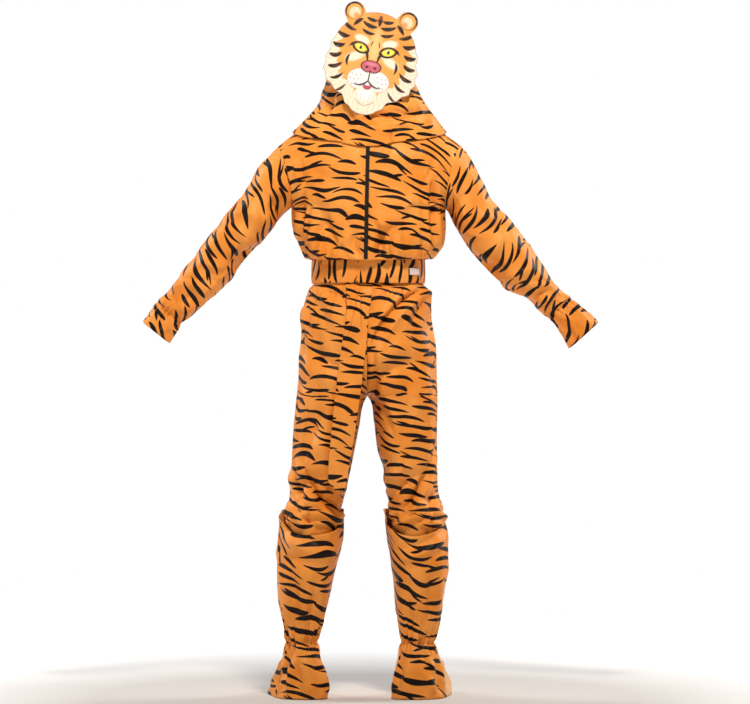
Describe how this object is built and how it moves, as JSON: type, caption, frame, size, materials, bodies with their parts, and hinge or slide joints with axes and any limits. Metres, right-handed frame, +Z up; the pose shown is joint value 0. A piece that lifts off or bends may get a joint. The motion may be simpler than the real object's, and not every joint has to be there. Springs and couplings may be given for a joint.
{
  "type": "tiger costume",
  "caption": "Tiger costume as worn, seen from its taped side: striped jumpsuit with cowl, flat tiger face, belt, tail and boot covers.",
  "frame": {"origin": "middle of the shoulders, at the height of the neck's base, where the wearer carries the costume", "axes": "+Z up along the body, -Y towards the side with the closure tape, the face and the tail, +Y where the toes point, +X to that side's right as seen from -Y"},
  "size_m": [1.1844, 0.3452, 1.8015],
  "materials": {
    "striped_cloth": "satin",
    "peach_cloth": "satin",
    "closure_tape": "matte",
    "hook_patch": "matte",
    "mask_board": "matte"
  },
  "bodies": {
    "root": {"blouse_back_left": "striped_cloth", "blouse_back_right": "striped_cloth", "blouse_front": "striped_cloth", "sleeve_left": "striped_cloth", "sleeve_right": "striped_cloth", "trousers_back_left": "striped_cloth", "trousers_back_right": "striped_cloth", "trousers_front_left": "striped_cloth", "trousers_front_right": "striped_cloth", "belt": "striped_cloth", "tail": "striped_cloth", "hood_back": "striped_cloth", "hood_front": "striped_cloth", "boot_back_left": "striped_cloth", "boot_back_right": "striped_cloth", "boot_front_left": "peach_cloth", "boot_front_right": "peach_cloth", "closure_tape": "closure_tape", "belt_hook_patch": "hook_patch", "face_mask": "mask_board"}
  },
  "joints": []
}
